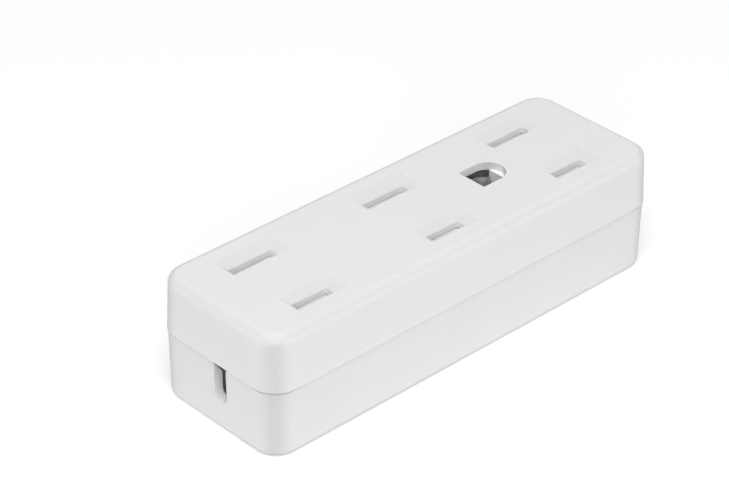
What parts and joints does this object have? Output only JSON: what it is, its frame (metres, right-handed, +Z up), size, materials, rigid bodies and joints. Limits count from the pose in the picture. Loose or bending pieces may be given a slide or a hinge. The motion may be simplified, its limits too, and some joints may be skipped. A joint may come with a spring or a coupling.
{
  "type": "surge-protected power tap",
  "caption": "Slim white outlet block for flat-blade plugs, with sprung shutters behind the slots, an earthed end outlet, riveted contact strips, surge parts and an end cord entry.",
  "frame": {"origin": "centre of the case's footprint, on the surface that it stands on", "axes": "+X along the case from the cord entry to the earthed outlet, +Y across towards the wide neutral slots, +Z up out of the outlets"},
  "size_m": [0.0782, 0.0254, 0.0203],
  "materials": {
    "white_shell": "satin",
    "white_inner": "satin",
    "shutter_white": "satin",
    "plated_steel": "satin",
    "case_screw_steel": "satin",
    "spring_steel": "bright",
    "bronze_clip": "satin",
    "brass_strip": "satin",
    "rivet_brass": "satin",
    "earth_strip_brass": "satin",
    "nickel_sleeve": "satin",
    "varistor_coat": "satin",
    "tinned_copper": "satin",
    "fuse_body": "satin"
  },
  "bodies": {
    "housing": {"upper_cover": "white_shell", "lower_case": "white_shell", "shutter_frame": "white_inner", "shutter_frame_screws": "plated_steel", "shutter_spring_1": "spring_steel", "shutter_spring_2": "spring_steel", "shutter_spring_3": "spring_steel", "live_clip_1": "bronze_clip", "live_clip_2": "bronze_clip", "live_clip_3": "bronze_clip", "neutral_clip_1": "bronze_clip", "neutral_clip_2": "bronze_clip", "neutral_clip_3": "bronze_clip", "live_bus_strip": "brass_strip", "neutral_bus_strip": "brass_strip", "clip_rivets": "rivet_brass", "earth_strip": "earth_strip_brass", "earth_sleeve": "nickel_sleeve", "terminal_washers": "plated_steel", "terminal_screws": "plated_steel", "cord_clamp": "plated_steel", "clamp_screws": "plated_steel", "case_screws": "case_screw_steel", "varistor": "varistor_coat", "varistor_leads": "tinned_copper", "thermal_fuse": "fuse_body", "fuse_leads": "tinned_copper"},
    "shutter_1": {"shutter_1": "shutter_white"},
    "shutter_2": {"shutter_2": "shutter_white"},
    "shutter_3": {"shutter_3": "shutter_white"}
  },
  "joints": [
    {"name": "shutter_1_slide", "type": "slide", "parent": "housing", "child": "shutter_1", "axis": [0, 1, 0], "range_m": [0, 0.0024], "stiffness_N_per_m": 800, "springref_m": -0.0006, "deforming": ["shutter_spring_1"]},
    {"name": "shutter_2_slide", "type": "slide", "parent": "housing", "child": "shutter_2", "axis": [0, 1, 0], "range_m": [0, 0.0024], "stiffness_N_per_m": 800, "springref_m": -0.0006, "deforming": ["shutter_spring_2"]},
    {"name": "shutter_3_slide", "type": "slide", "parent": "housing", "child": "shutter_3", "axis": [0, 1, 0], "range_m": [0, 0.0024], "stiffness_N_per_m": 800, "springref_m": -0.0006, "deforming": ["shutter_spring_3"]}
  ]
}
